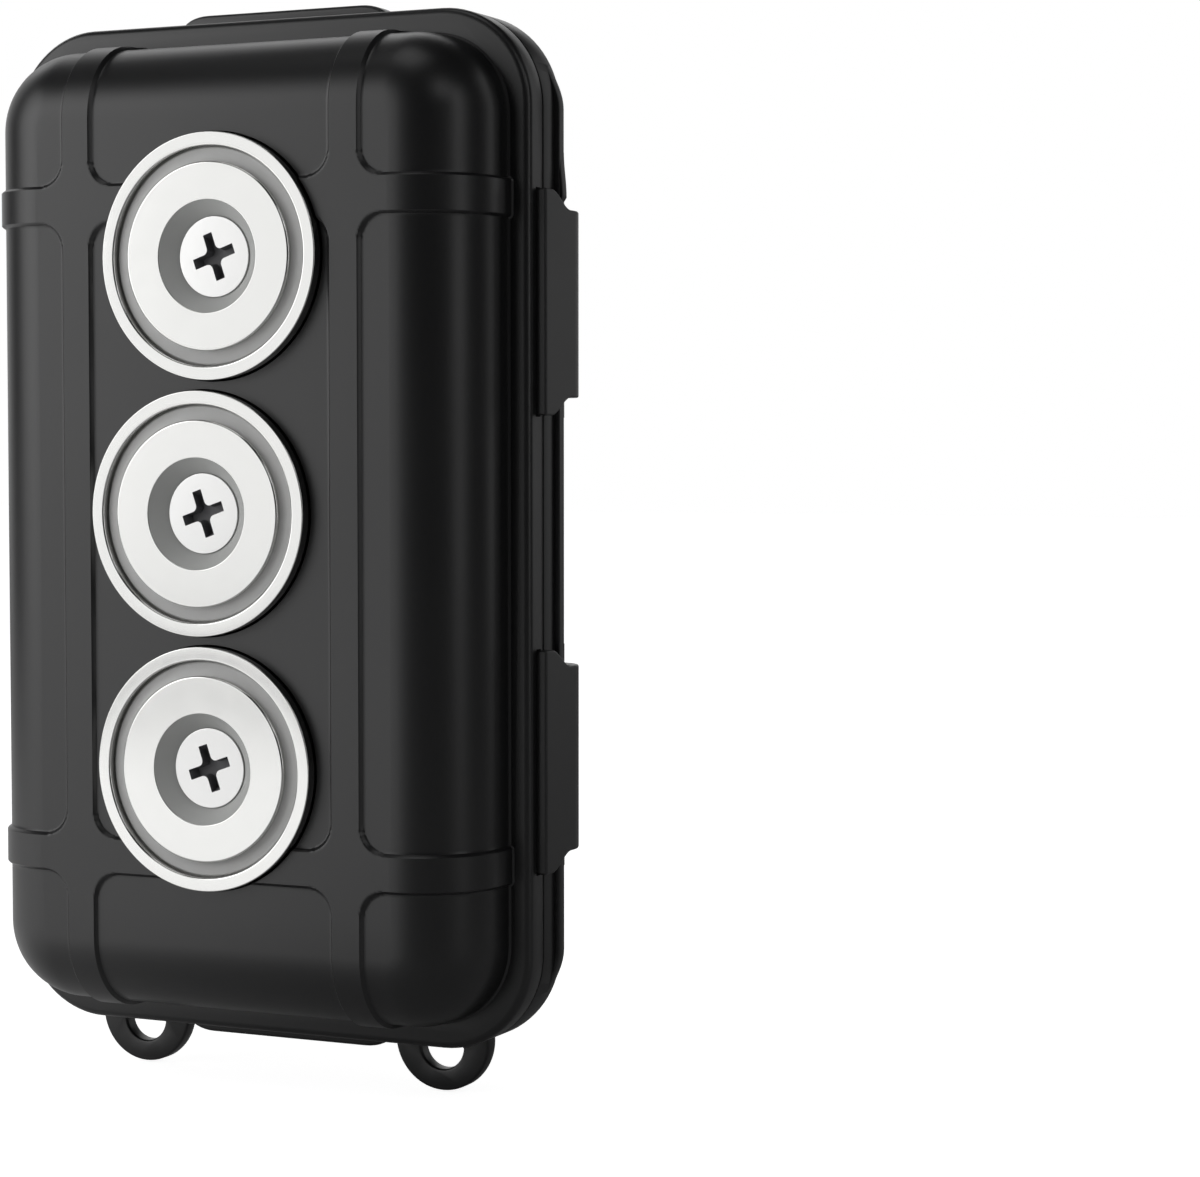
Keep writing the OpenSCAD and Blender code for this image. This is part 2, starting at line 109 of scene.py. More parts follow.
# %% Sizes of the box, from the frame
def box_mm(node):
    """Lowest and highest corner of a node at rest, in millimetres."""
    low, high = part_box(node)
    return Vector(low) / MM, Vector(high) / MM


tub_low, tub_high = box_mm("base_shell")
lid_low, lid_high = box_mm("lid_shell")
gasket_low, gasket_high = box_mm("gasket")
cup_low, cup_high = box_mm("magnet_cup_middle")

STRAP_H = 0.55
WALL = 2.2
GROOVE_IN = 1.6
GROOVE_DEPTH = 1.8
PART_GAP = 0.25
RIM_LEN = tub_high.z - tub_low.z
RIM_WID = gasket_high.x - gasket_low.x + 2 * GROOVE_IN
MIDDLE_Z = (tub_high.z + tub_low.z) / 2
RIM_CORNER = 13
RIM_EDGE = 1
CUP_R = (cup_high.x - cup_low.x) / 2 + 0.1
CUP_T = cup_high.y - cup_low.y
TUB_BACK = tub_low.y + STRAP_H
FLANGE_BACK = 15.3
JOINT_Y = 19.2
LID_JOINT = JOINT_Y + PART_GAP
LID_RIM_END = LID_JOINT + 5.9
LID_FRONT = lid_high.y - STRAP_H
print("rim", round(RIM_WID, 2), "x", round(RIM_LEN, 2), "mm, lid front at", round(LID_FRONT, 2))

# %% [markdown]
# ## Modelling helpers
# Every piece starts as a primitive that is shaped in edit mode and finished with modifiers. The
# helpers below do the small steps that repeat: add a block, a disc or an outline at its place,
# pick edges by where they lie, apply one modifier, and join or cut two solids.

# %% Helper: start from a clean selection
def make_active(piece):
    """Select one object and nothing else."""
    bpy.ops.object.select_all(action="DESELECT")
    piece.select_set(True)
    bpy.context.view_layer.objects.active = piece


def settle(piece, name):
    """Name a new primitive and put its place, turn and size into its mesh."""
    piece.name = name
    piece.data.name = name
    make_active(piece)
    bpy.ops.object.transform_apply(location=True, rotation=True, scale=True)
    return piece


# %% Helper: blocks, rods and plates
def add_block(name, low, high):
    """A block between two corners, given in millimetres."""
    bpy.ops.object.select_all(action="DESELECT")
    low, high = Vector(low) * MM, Vector(high) * MM
    bpy.ops.mesh.primitive_cube_add(size=1, location=(low + high) / 2)
    block = bpy.context.object
    block.scale = high - low
    return settle(block, name)


def add_rod(name, axis, centre, radius, low, high, sides=64):
    """A cylinder along Y or Z from low to high; centre gives its other two coordinates."""
    bpy.ops.object.select_all(action="DESELECT")
    middle = (low + high) / 2
    place = (centre[0], middle, centre[1]) if axis == "Y" else (centre[0], centre[1], middle)
    turn = (math.pi / 2, 0, 0) if axis == "Y" else (0, 0, 0)
    bpy.ops.mesh.primitive_cylinder_add(
        vertices=sides, radius=radius * MM, depth=(high - low) * MM,
        location=Vector(place) * MM, rotation=turn,
    )
    return settle(bpy.context.object, name)


def round_corners(corners, steps=6):
    """Outline through (u, v, radius) corners, each cut to an arc of its radius."""
    outline = []
    for i, (u, v, radius) in enumerate(corners):
        here = Vector((u, v))
        if radius == 0:
            outline.append(here)
            continue
        back = (Vector(corners[i - 1][:2]) - here).normalized()
        ahead = (Vector(corners[(i + 1) % len(corners)][:2]) - here).normalized()
        half = back.angle(ahead) / 2
        centre = here + (back + ahead).normalized() * radius / math.sin(half)
        start = here + back * radius / math.tan(half) - centre
        end = here + ahead * radius / math.tan(half) - centre
        first = math.atan2(start.y, start.x)
        turn = math.remainder(math.atan2(end.y, end.x) - first, 2 * math.pi)
        for k in range(steps + 1):
            angle = first + turn * k / steps
            outline.append(centre + radius * Vector((math.cos(angle), math.sin(angle))))
    return outline


def add_outline(name, outline, axis, level):
    """A flat face whose outline, in millimetres, lies across an axis at a level."""
    bpy.ops.object.select_all(action="DESELECT")
    bpy.ops.mesh.primitive_circle_add(vertices=len(outline), fill_type="NGON")
    plate = bpy.context.object
    for vertex, (u, v) in zip(plate.data.vertices, outline):
        place = {"X": (level, u, v), "Y": (u, level, v), "Z": (u, v, level)}[axis]
        vertex.co = Vector(place) * MM
    return settle(plate, name)


def add_plate(name, outline, axis, low, high):
    """An outline made solid from low to high along an axis."""
    plate = add_outline(name, outline, axis, low)
    rise = Vector([(high - low) * MM if axis == letter else 0 for letter in "XYZ"])
    bpy.ops.object.mode_set(mode="EDIT")
    bpy.ops.mesh.select_all(action="SELECT")
    bpy.ops.mesh.extrude_region_move(TRANSFORM_OT_translate={"value": rise})
    bpy.ops.mesh.select_all(action="SELECT")
    bpy.ops.mesh.normals_make_consistent(inside=False)
    bpy.ops.object.mode_set(mode="OBJECT")
    return plate


# %% Helper: pick, round and combine
def pick_edges(piece, test):
    """Enter edit mode with the edges selected whose two ends, in millimetres, pass a test."""
    make_active(piece)
    bpy.ops.object.mode_set(mode="EDIT")
    bpy.ops.mesh.select_mode(type="EDGE")
    bpy.ops.mesh.select_all(action="DESELECT")
    bpy.ops.object.mode_set(mode="OBJECT")
    verts = piece.data.vertices
    for edge in piece.data.edges:
        a, b = (verts[i].co / MM for i in edge.vertices)
        edge.select = test(a, b)
    bpy.ops.object.mode_set(mode="EDIT")


def round_edges(piece, radius, test, steps=5):
    """Round the picked edges to a radius."""
    pick_edges(piece, test)
    bpy.ops.mesh.bevel(offset=radius * MM, segments=steps, affect="EDGES", clamp_overlap=True)
    bpy.ops.object.mode_set(mode="OBJECT")
    return piece


def at_level(axis, level):
    """A test for edges that lie in one plane."""
    return lambda a, b: abs(a[axis] - level) < 0.01 and abs(b[axis] - level) < 0.01


def apply_modifier(piece, kind, **settings):
    """Add one modifier, set it and apply it."""
    make_active(piece)
    modifier = piece.modifiers.new(kind.title(), kind)
    for name, value in settings.items():
        setattr(modifier, name, value)
    bpy.ops.object.modifier_apply(modifier=modifier.name)
    return piece


def soften(piece, radius, steps=2, angle=35, clamp=True):
    """Round every edge that is sharper than an angle."""
    return apply_modifier(
        piece, "BEVEL", width=radius * MM, segments=steps, limit_method="ANGLE",
        angle_limit=math.radians(angle), use_clamp_overlap=clamp,
    )


def combine(piece, *others, how="UNION"):
    """Join other solids to a piece or cut them out of it, and remove them."""
    for other in others:
        apply_modifier(piece, "BOOLEAN", object=other, operation=how, solver="EXACT")
        bpy.data.objects.remove(other, do_unlink=True)
    return piece


def shade(piece, angle=32):
    """Smooth shading that keeps the edges that are sharper than an angle."""
    make_active(piece)
    bpy.ops.object.shade_smooth_by_angle(angle=math.radians(angle))
    return piece


def shade_flat_faces(piece):
    """Smooth shading in which the large faces stay flat up to their rounded edges."""
    return apply_modifier(shade(piece), "WEIGHTED_NORMAL", keep_sharp=True)


# %% [markdown]
# ## Colours and nodes
# Colours are written as sRGB hex values, as a designer picks them, and turned to the linear
# values that shaders need. One small function adds a node with its settings and links.

# %% Helper: colours and shader nodes
def linear(code):
    """Linear RGBA of an sRGB hex value."""
    channels = [int(code[i:i + 2], 16) / 255 for i in (1, 3, 5)]
    return [c / 12.92 if c <= 0.04045 else ((c + 0.055) / 1.055) ** 2.4 for c in channels] + [1]


def add_node(tree, kind, settings=None, links=None):
    """Add a node; settings are its options or the values of its sockets."""
    node = tree.nodes.new(kind)
    for name, value in (settings or {}).items():
        if name in range(len(node.inputs)) or name in node.inputs.keys():
            node.inputs[name].default_value = value
        else:
            setattr(node, name, value)
    for name, source in (links or {}).items():
        tree.links.new(source, node.inputs[name])
    return node


def new_material(name, settings):
    """A material with one Principled shader, its constants set on the shader's own sockets."""
    material = bpy.data.materials.new(name)
    material.use_nodes = True
    tree = material.node_tree
    shader = tree.nodes["Principled BSDF"]
    for socket, value in settings.items():
        shader.inputs[socket].default_value = value
    place = add_node(tree, "ShaderNodeTexCoord").outputs["Object"]
    return material, tree, shader, place


# %% [markdown]
# ## Moulded plastic
# The shells are ABS, injection-moulded in a spark-eroded steel mould. The mould's grain prints a
# very fine matt texture, so the plastic has a broad, soft gloss over a nearly black body. The
# grain is under a tenth of a millimetre, too fine to show here, so it is drawn at 0.35 mm and
# kept faint. The latches are nylon, a little greyer and with a finer grain.

# %% Moulded plastic
def moulded_plastic(name, colour, roughness, grain_mm, grain_height_mm):
    """Dark moulded plastic with a fine grain and a slow change of gloss over the surface."""
    material, tree, shader, place = new_material(
        name, {"Base Color": linear(colour), "IOR": 1.57},
    )
    gloss = add_node(tree, "ShaderNodeTexNoise", {"Scale": 60, "Detail": 2}, {"Vector": place})
    spread = add_node(
        tree, "ShaderNodeMapRange", {"To Min": roughness - 0.02, "To Max": roughness + 0.03},
        {"Value": gloss.outputs["Fac"]},
    )
    tree.links.new(spread.outputs["Result"], shader.inputs["Roughness"])
    grain = add_node(
        tree, "ShaderNodeTexNoise", {"Scale": 1 / (grain_mm * MM), "Detail": 1}, {"Vector": place},
    )
    bump = add_node(
        tree, "ShaderNodeBump", {"Distance": grain_height_mm * MM, "Strength": 0.5},
        {"Height": grain.outputs["Fac"]},
    )
    tree.links.new(bump.outputs["Normal"], shader.inputs["Normal"])
    return material


black_abs = moulded_plastic("moulded_black_abs", "#161617", 0.36, 0.35, 0.004)
black_nylon = moulded_plastic("moulded_black_nylon", "#1b1b1c", 0.40, 0.28, 0.004)
print("plastics", black_abs.name, black_nylon.name)

# %% [markdown]
# ## Metals
# The magnets' cups and rings are nickel-plated: a bright, slightly warm metal over a fine satin
# surface. The cups are turned, and the rings are pressed and ground, so both get only a faint
# change of gloss. Screws are cold-headed and plated, the inner washers and nuts are zinc-plated,
# and the pins are drawn stainless wire with fine lines along the wire.

# %% Plated and drawn metals
def plated_metal(name, colour, roughness, patch_mm):
    """Plated metal, with small patches that are a little more or less polished."""
    material, tree, shader, place = new_material(
        name, {"Base Color": linear(colour), "Metallic": 1.0},
    )
    patches = add_node(
        tree, "ShaderNodeTexNoise", {"Scale": 1 / (patch_mm * MM), "Detail": 3}, {"Vector": place},
    )
    spread = add_node(
        tree, "ShaderNodeMapRange", {"To Min": roughness - 0.03, "To Max": roughness + 0.04},
        {"Value": patches.outputs["Fac"]},
    )
    tree.links.new(spread.outputs["Result"], shader.inputs["Roughness"])
    return material


def drawn_wire(name, colour, roughness, line_mm):
    """Wire with fine lines along its length, which is up the box."""
    material, tree, shader, place = new_material(
        name, {"Base Color": linear(colour), "Metallic": 1.0, "Roughness": roughness},
    )
    stretch = add_node(
        tree, "ShaderNodeMapping", {"Scale": (1 / (line_mm * MM), 1 / (line_mm * MM), 20)},
        {"Vector": place},
    )
    lines = add_node(tree, "ShaderNodeTexNoise", {"Scale": 1}, {"Vector": stretch.outputs[0]})
    bump = add_node(
        tree, "ShaderNodeBump", {"Distance": 0.005 * MM, "Strength": 0.4},
        {"Height": lines.outputs["Fac"]},
    )
    tree.links.new(bump.outputs["Normal"], shader.inputs["Normal"])
    return material


nickel_cup = plated_metal("nickel_plated_cup", "#dadad8", 0.13, 2.0)
nickel_ring = plated_metal("nickel_plated_ring_magnet", "#dadad8", 0.15, 3.0)
nickel_screw = plated_metal("nickel_plated_screw", "#d8d8d7", 0.24, 1.0)
zinc = plated_metal("zinc_plated_steel", "#b9bcc0", 0.38, 0.8)
wire = drawn_wire("drawn_stainless_wire", "#b4b4b2", 0.3, 0.12)
turned_cone = new_material(
    "dull_turned_countersink", {"Base Color": linear("#cecfcd"), "Metallic": 0.3, "Roughness": 0.6},
)[0]
print("metals", nickel_cup.name, nickel_ring.name, nickel_screw.name, zinc.name, wire.name)

# %% [markdown]
# ## Resin and rubber
# The gap between ring and cup is cast full of grey epoxy: a smooth mid grey with a mild gloss.
# The gasket is matt silicone, and the sealing washers are black rubber.

# %% Cast resin, silicone and rubber
def cast_or_rubber(name, colour, roughness, mottle_mm, other_colour):
    """A soft mottle between two near colours."""
    material, tree, shader, place = new_material(name, {"Roughness": roughness})
    mottle = add_node(
        tree, "ShaderNodeTexNoise", {"Scale": 1 / (mottle_mm * MM), "Detail": 2},
        {"Vector": place},
    )
    blend = add_node(
        tree, "ShaderNodeMix", {"data_type": "RGBA"}, {"Factor": mottle.outputs["Fac"]},
    )
    blend.inputs[6].default_value = linear(colour)
    blend.inputs[7].default_value = linear(other_colour)
    tree.links.new(blend.outputs[2], shader.inputs["Base Color"])
    return material


grey_resin = cast_or_rubber("cast_grey_epoxy", "#d3d3d1", 0.35, 1.5, "#dadad9")
silicone = cast_or_rubber("moulded_grey_silicone", "#6c6e71", 0.7, 2.0, "#727477")
rubber = cast_or_rubber("moulded_black_rubber", "#191919", 0.75, 1.0, "#202020")
print("soft", grey_resin.name, silicone.name, rubber.name)

# %% [markdown]
# ## Raised straps
# The tub and the lid each carry a net of four flat straps, two up and two across, that run over
# the rounding and down the walls. A mould gives them soft shoulders and round corners where they
# cross. They could be cut as separate strips, but then the shoulders would be sharp. So the
# shell is cut into fine bands where shoulders lie, and a Displace modifier lifts the skin by a
# weight that rises smoothly from the nine sunk panels to the net.

# %% Where the straps lie
STRAP_UP_GAP = 36.2
STRAP_UP_W = 4.5
STRAP_ACROSS_GAP = 81.9
STRAP_ACROSS_W = 4.9
STRAP_FILLET = 3.5
SHOULDER = 0.45


def panel_distance(u, v, half_u, half_v, fillet):
    """Distance outside a panel with round corners, negative inside."""
    out_u, out_v = abs(u) - half_u + fillet, abs(v) - half_v + fillet
    return math.hypot(max(out_u, 0), max(out_v, 0)) + min(max(out_u, out_v), 0) - fillet


def strap_weight(x, z):
    """1 on the net of straps, 0 on the panels, and a soft step between them."""
    nearest = 1000
    for i in (-1, 0, 1):
        for j in (-1, 0, 1):
            half_x = STRAP_UP_GAP / 2 if i == 0 else RIM_WID / 2
            half_z = STRAP_ACROSS_GAP / 2 if j == 0 else RIM_LEN / 2
            middle_x = i * (STRAP_UP_GAP / 2 + STRAP_UP_W + RIM_WID / 2)
            middle_z = j * (STRAP_ACROSS_GAP / 2 + STRAP_ACROSS_W + RIM_LEN / 2)
            away = panel_distance(x - middle_x, z - middle_z, half_x, half_z, STRAP_FILLET)
            nearest = min(nearest, away)
    t = min(1, max(0, nearest / SHOULDER + 0.5))
    return t * t * (3 - 2 * t)


def strap_lines(gap, width):
    """Places of the fine cuts over both shoulders and round corners of a strap, both sides."""
    fine = 0.2
    low = gap / 2 - STRAP_FILLET - SHOULDER
    count = round((width + 2 * STRAP_FILLET + 2 * SHOULDER) / fine)
    one_side = [low + fine * k for k in range(count + 1)]
    return [side * place for side in (-1, 1) for place in one_side]


print("fine cuts", len(strap_lines(STRAP_UP_GAP, STRAP_UP_W)), "across",
      len(strap_lines(STRAP_ACROSS_GAP, STRAP_ACROSS_W)), "up")

# %% [markdown]
# ## Tray
# Both shells start as the same form: a block whose four long corners are rounded first, and then
# the whole edge round its flat side. A slight lean of the walls lets the real part leave its
# mould. The open end flares a little into the rim, as a fillet in the mould does.

# %% Helper: a tray with straps
FOOT_R = 0.35


def add_tray(name, length, width, corner, rounding, lean, flat_y, open_y):
    """A closed tray between two depths, narrower by the lean at its flat side."""
    low = (-width / 2, min(flat_y, open_y), MIDDLE_Z - length / 2)
    high = (width / 2, max(flat_y, open_y), MIDDLE_Z + length / 2)
    tray = add_block(name, low, high)
    pick_edges(tray, at_level(1, flat_y))
    bpy.ops.transform.resize(
        value=(1 - 2 * lean / width, 1, 1 - 2 * lean / length),
        center_override=Vector((0, flat_y, MIDDLE_Z)) * MM,
    )
    bpy.ops.object.mode_set(mode="OBJECT")
    round_edges(tray, corner, lambda a, b: abs(a.y - b.y) > 1, steps=20)
    round_edges(tray, rounding, at_level(1, flat_y), steps=16)
    return tray


def cut_bands(tray, axis, places):
    """Cut the whole skin with planes across an axis."""
    make_active(tray)
    bpy.ops.object.mode_set(mode="EDIT")
    for place in places:
        point, normal = Vector((0, 0, 0)), Vector((0, 0, 0))
        point[axis] = place * MM
        normal[axis] = 1
        bpy.ops.mesh.select_all(action="SELECT")
        bpy.ops.mesh.bisect(plane_co=point, plane_no=normal)
    bpy.ops.object.mode_set(mode="OBJECT")


def lift_skin(tray, name, height, weight):
    """Push the skin out along its normals by a height times a weight found from each place."""
    group = tray.vertex_groups.new(name=name)
    for vertex in tray.data.vertices:
        group.add([vertex.index], weight(vertex.co / MM), "REPLACE")
    apply_modifier(tray, "DISPLACE", strength=height * MM, mid_level=0, vertex_group=name)


def add_strapped_tray(name, length, width, corner, rounding, lean, flat_y, open_y, rim_y):
    """A tray with raised straps and a small fillet where it meets the rim."""
    tray = add_tray(name, length, width, corner, rounding, lean, flat_y, open_y)
    cut_bands(tray, 0, strap_lines(STRAP_UP_GAP, STRAP_UP_W))
    cut_bands(tray, 2, [MIDDLE_Z + z for z in strap_lines(STRAP_ACROSS_GAP, STRAP_ACROSS_W)])
    toward = 1 if flat_y < rim_y else -1
    cut_bands(tray, 1, [rim_y - toward * FOOT_R * k / 4 for k in (0, 1, 2, 3, 4)])
    lift_skin(tray, "straps", STRAP_H, lambda place: strap_weight(place.x, place.z - MIDDLE_Z))

    def foot(place):
        t = min(1, max(0, 1 - (rim_y - place.y) * toward / FOOT_R))
        return 1 - math.sqrt(1 - t * t)

    lift_skin(tray, "foot", FOOT_R, foot)
    return tray


# %% [markdown]
# ## Tub
# The tub is what the photograph shows most of: large roundings that run straight into a flange.
# The three magnets sit in round pockets, and behind each pocket a boss carries the screw. The
# flange has two hinge knuckles a side, and a slot cut in its edge for each latch's lip.

# %% Sizes of the tub
RIM_OUT_SIDE = 3.1
RIM_OUT_END = 3.6
TUB_LEN = RIM_LEN - 2 * RIM_OUT_END
TUB_WID = RIM_WID - 2 * RIM_OUT_SIDE
TUB_ROUND = 10
TUB_CORNER = 10.9
TUB_LEAN = 0.2
joints = {joint["name"]: joint for joint in frame["joints"]}
hinge = Vector(joints["lid_hinge"]["pos_m"]) / MM
PAST = 1


def node_middle(node):
    """Middle of a node's box, in millimetres."""
    low, high = box_mm(node)
    return (low + high) / 2


LATCHES = {"upper": 1, "lower": -1}
ROWS = ("top", "middle", "bottom")
magnet_places = [node_middle(f"magnet_cup_{row}") for row in ROWS]
hinge_places = [node_middle(f"hinge_pin_{side}").z for side in LATCHES]
latch_places = {side: node_middle(f"latch_{side}").z for side in LATCHES}
pin_low, pin_high = box_mm("hinge_pin_upper")
PIN_R = (pin_high.x - pin_low.x) / 2
HINGE_LEN = pin_high.z - pin_low.z
HINGE_MID = 11
KNUCKLE_GAP = 0.3
KNUCKLE_R = 1.7
latch_low, latch_high = box_mm("latch_upper")
LATCH_LEN = latch_high.z - latch_low.z
print("hinge at", [round(v, 2) for v in hinge], "latches at", latch_places)


# %% Helper: a plate with the outline of the rim
def rim_outline(inset):
    """Outline of the rim, or of a line that lies inside it by an inset."""
    half_x, half_z = RIM_WID / 2 - inset, RIM_LEN / 2 - inset
    corners = [(half_x, half_z), (-half_x, half_z), (-half_x, -half_z), (half_x, -half_z)]
    places = [(x, z + MIDDLE_Z, RIM_CORNER - inset) for x, z in corners]
    return round_corners(places, steps=20)


def add_knuckle(z_low, z_high, web_low, web_high):
    """A hinge knuckle with the web that joins it to the rim, drilled for the pin."""
    knuckle = add_rod("knuckle", "Z", (hinge.x, hinge.y), KNUCKLE_R, z_low, z_high, sides=40)
    web = add_block("web", (hinge.x, web_low, z_low), (PAST - RIM_WID / 2, web_high, z_high))
    combine(knuckle, web)
    soften(knuckle, 0.15)
    bore = add_rod(
        "bore", "Z", (hinge.x, hinge.y), PIN_R + 0.02, z_low - PAST, z_high + PAST, sides=40,
    )
    return combine(knuckle, bore, how="DIFFERENCE")


# %% Flange of the tub
SLOT_BITE = 1.0
SLOT_START = 17.15
SLOT_END = 18.45


def add_flange():
    """The tub's flange with its hinge knuckles and the slots that take the latches' lips."""
    flange = add_plate("flange", rim_outline(0), "Y", FLANGE_BACK, JOINT_Y)
    round_edges(flange, RIM_EDGE, at_level(1, FLANGE_BACK))
    round_edges(flange, 0.15, at_level(1, JOINT_Y), steps=2)
    for z in latch_places.values():
        half = LATCH_LEN / 2 + 0.15
        slot = add_block(
            "slot", (RIM_WID / 2 - SLOT_BITE, SLOT_START, z - half),
            (RIM_WID / 2 + PAST, SLOT_END, z + half),
        )
        combine(flange, slot, how="DIFFERENCE")
    end_len = (HINGE_LEN - HINGE_MID) / 2 - KNUCKLE_GAP
    for z in hinge_places:
        for start in (z - HINGE_LEN / 2, z + HINGE_LEN / 2 - end_len):
            knuckle = add_knuckle(start, start + end_len, hinge.y - KNUCKLE_R, JOINT_Y)
            combine(flange, knuckle)
    return flange


# %% Tub with its magnet seats
POCKET_CLEAR = 0.2
SCREW_HOLE_R = 2.75


def add_tub():
    """The whole tub: tray, flange, hollow, bosses and pockets."""
    tub = add_strapped_tray(
        "base_shell_moulded", TUB_LEN, TUB_WID, TUB_CORNER, TUB_ROUND, TUB_LEAN,
        TUB_BACK, FLANGE_BACK + 0.5, FLANGE_BACK,
    )
    combine(tub, add_flange())
    hollow = add_tray(
        "hollow", TUB_LEN - 2 * WALL, TUB_WID - 2 * WALL, TUB_CORNER - WALL,
        TUB_ROUND - WALL, TUB_LEAN, TUB_BACK + WALL, JOINT_Y + PAST,
    )
    combine(tub, hollow, how="DIFFERENCE")
    floor_y = CUP_T + WALL
    bosses = []
    pockets = []
    for place in magnet_places:
        seat = (place.x, place.z)
        boss_r = CUP_R + POCKET_CLEAR + WALL
        bosses.append(add_rod("boss", "Y", seat, boss_r, TUB_BACK + WALL / 2, floor_y, 96))
        pocket = add_rod("pocket", "Y", seat, CUP_R + POCKET_CLEAR, -PAST, CUP_T, 96)
        hole = add_rod("hole", "Y", seat, SCREW_HOLE_R, CUP_T - PAST, floor_y + PAST, 48)
        pockets.append(combine(pocket, hole))
    combine(tub, combine(*bosses))
    combine(tub, combine(*pockets), how="DIFFERENCE")
    return shade(tub)


def finish_piece(piece, material, body, slot, *nodes):
    """Give a piece its material and its body, and hide the nodes whose place it takes. The slot is not
    used.
    """
    piece.data.materials.clear()
    piece.data.materials.append(material)
    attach(piece, body)
    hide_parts(*nodes)
    print(piece.name, "has", len(piece.data.polygons), "faces")
    return piece


tub = finish_piece(add_tub(), black_abs, "base", "black_abs", "base_shell")

# %% [markdown]
# ## Lid
# The lid repeats the tub's straps on its far side, a little smaller. Its rim is thicker than the
# flange, and carries all that shows past the tub: a band along each long side, a low pad on each
# end, two loops for a lanyard at the foot, and behind the rim the ears that hold the latch pins.
# The small parts are joined to the rim plate first, because a join with the finely cut tray
# takes longest.

# %% Sizes of the lid
LID_IN = 2.2
LID_LEN = TUB_LEN - 2 * LID_IN
LID_WID = TUB_WID - 2 * LID_IN
LID_ROUND = 7.5
LID_CORNER = 9.1
LID_LEAN = 0.9
BAND_W = 2.7
BAND_OUT = 0.7
BAND_IN = 3
BAND_RAMP = 6
BAND_Y = LID_RIM_END - BAND_W
PAD_LEN = 26
PAD_H = 1.9
PAD_RUN = 4
PAD_HOLLOW_R = 0.4
PAD_Y = LID_JOINT + 1.5
LOOP_X = 23.6
LOOP_R = 7.1
LOOP_HOLE_R = 3.2
LOOP_HOLE_DOWN = 1
LOOP_Y = LID_JOINT + 2.2
LOOP_T = 2.2
EAR_T = 2.4
EAR_GAP = 0.2
LATCH_NECK = 24.6
PIVOT_R = 1.9
GUARD_LEN = 6
GUARD_H = 0.4


# %% Band, pads and loops
def add_band(side):
    """Band that stands out along one long side and runs out round the corners."""
    straight = RIM_LEN / 2 - RIM_CORNER
    upper = []
    for k in range(9):
        along = BAND_RAMP * k / 8
        drop = RIM_CORNER - math.sqrt(RIM_CORNER ** 2 - along ** 2)
        out = BAND_OUT * (1 + math.cos(math.pi * k / 8)) / 2 - drop
        upper.append((RIM_WID / 2 + out, straight + along))
    upper.append((RIM_WID / 2 - BAND_IN, straight + BAND_RAMP))
    lower = [(x, -z) for x, z in reversed(upper)]
    outline = [(side * x, z + MIDDLE_Z) for x, z in upper + lower]
    return soften(add_plate("band", outline, "Y", BAND_Y, LID_RIM_END - RIM_EDGE), 0.25)


def add_pad(side):
    """Low pad on one end of the rim, with rounded ends; the upper one has a small hollow."""
    right = []
    for k in range(9):
        angle = math.pi / 2 * k / 8
        across = PAD_LEN / 2 - 1 + PAD_RUN * math.cos(angle)
        right.append((across, PAD_H * math.sin(angle)))
    outline = [(PAD_LEN / 2 - 1 + PAD_RUN, -PAST)] + right
    outline += [(-x, z) for x, z in reversed(outline)]
    end_z = MIDDLE_Z + side * RIM_LEN / 2
    outline = [(x, end_z + side * z) for x, z in outline]
    pad = soften(add_plate("pad", outline, "Y", PAD_Y, LID_RIM_END - RIM_EDGE), 0.45, 4, 50)
    if side == -1:
        return pad
    middle_y, middle_z = (PAD_Y + LID_RIM_END - RIM_EDGE) / 2, end_z + PAD_H / 3
    turns = [math.pi / 12 * k for k in range(24)]
    ring = [
        (middle_y + PAD_HOLLOW_R * math.cos(a), middle_z + PAD_HOLLOW_R * math.sin(a)) for a in turns
    ]
    hollow = add_plate("hollow", ring, "X", PAD_LEN / 2 - 2, PAD_LEN / 2 + PAD_RUN)
    return combine(pad, hollow, how="DIFFERENCE")


def add_loop(x):
    """Half-round ear at the foot of the rim, with a half-round hole for a lanyard."""
    foot_z = MIDDLE_Z - RIM_LEN / 2
    loop = add_rod("loop", "Y", (x, foot_z), LOOP_R, LOOP_Y, LOOP_Y + LOOP_T, sides=72)
    hole_z = foot_z - LOOP_HOLE_DOWN
    arc = [math.pi * k / 20 for k in range(21)]
    outline = [(x + LOOP_HOLE_R * math.cos(a), hole_z - LOOP_HOLE_R * math.sin(a)) for a in arc]
    hole = add_plate("hole", outline, "Y", LOOP_Y - PAST, LOOP_Y + LOOP_T + PAST)
    combine(loop, hole, how="DIFFERENCE")
    return soften(loop, 0.35, steps=3, angle=50)


# %% Ears and guard of the latches
pivots = {side: Vector(joints[f"latch_{side}_pivot"]["pos_m"]) / MM for side in LATCHES}


def add_ears(side):
    """The two ears that hold one latch's pin, drilled together."""
    pivot = pivots[side]
    reach = LATCH_NECK / 2 + EAR_GAP
    ears = []
    for start in (pivot.z + reach, pivot.z - reach - EAR_T):
        ear = add_rod("ear", "Z", (pivot.x, pivot.y), PIVOT_R, start, start + EAR_T, sides=48)
        web = add_block(
            "web", (LID_WID / 2 - WALL, LID_RIM_END - PAST, start),
            (pivot.x, pivot.y + PIVOT_R, start + EAR_T),
        )
        ears.append(soften(combine(ear, web), 0.15))
    both = combine(*ears)
    bore = add_rod(
        "bore", "Z", (pivot.x, pivot.y), PIN_R + 0.02,
        pivot.z - reach - EAR_T - PAST, pivot.z + reach + EAR_T + PAST, sides=40,
    )
    return combine(both, bore, how="DIFFERENCE")


